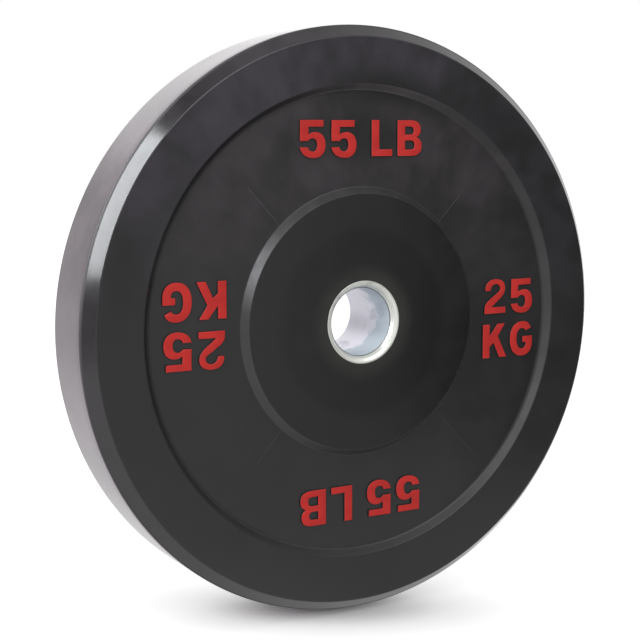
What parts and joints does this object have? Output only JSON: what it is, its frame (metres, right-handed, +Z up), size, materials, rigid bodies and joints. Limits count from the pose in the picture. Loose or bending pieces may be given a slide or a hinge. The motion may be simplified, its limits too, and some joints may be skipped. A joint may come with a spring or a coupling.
{
  "type": "bumper plate",
  "caption": "Round rubber weight plate with a steel-sleeved centre bore for a barbell, raised centre boss, recessed panels and a bevelled rim it can be dropped on.",
  "frame": {"origin": "centre of the bore, on the plate's middle plane", "axes": "+Y along the bore towards the back face, front face looks towards -Y, +Z up, +X to the right seen from the front"},
  "size_m": [0.45, 0.069, 0.45],
  "materials": {
    "black_rubber": "moulded, satin, faint mottling",
    "red_rubber": "moulded, satin",
    "zinc_plated_steel": "turned and zinc plated",
    "mill_steel": "cut plate, bare, sealed inside the rubber",
    "weld_metal": "fillet weld, as laid"
  },
  "bodies": {
    "root": {"rubber_disc": "black_rubber", "hub_sleeve": "zinc_plated_steel", "core_disc": "mill_steel", "front_weld_bead": "weld_metal", "back_weld_bead": "weld_metal", "back_bottom_first_numeral_5": "red_rubber", "back_bottom_letter_b": "red_rubber", "back_bottom_letter_l": "red_rubber", "back_bottom_second_numeral_5": "red_rubber", "back_left_letter_g": "red_rubber", "back_left_letter_k": "red_rubber", "back_left_numeral_2": "red_rubber", "back_left_numeral_5": "red_rubber", "back_right_letter_g": "red_rubber", "back_right_letter_k": "red_rubber", "back_right_numeral_2": "red_rubber", "back_right_numeral_5": "red_rubber", "back_top_first_numeral_5": "red_rubber", "back_top_letter_b": "red_rubber", "back_top_letter_l": "red_rubber", "back_top_second_numeral_5": "red_rubber", "front_bottom_first_numeral_5": "red_rubber", "front_bottom_letter_b": "red_rubber", "front_bottom_letter_l": "red_rubber", "front_bottom_second_numeral_5": "red_rubber", "front_left_letter_g": "red_rubber", "front_left_letter_k": "red_rubber", "front_left_numeral_2": "red_rubber", "front_left_numeral_5": "red_rubber", "front_right_letter_g": "red_rubber", "front_right_letter_k": "red_rubber", "front_right_numeral_2": "red_rubber", "front_right_numeral_5": "red_rubber", "front_top_first_numeral_5": "red_rubber", "front_top_letter_b": "red_rubber", "front_top_letter_l": "red_rubber", "front_top_second_numeral_5": "red_rubber"}
  },
  "joints": []
}
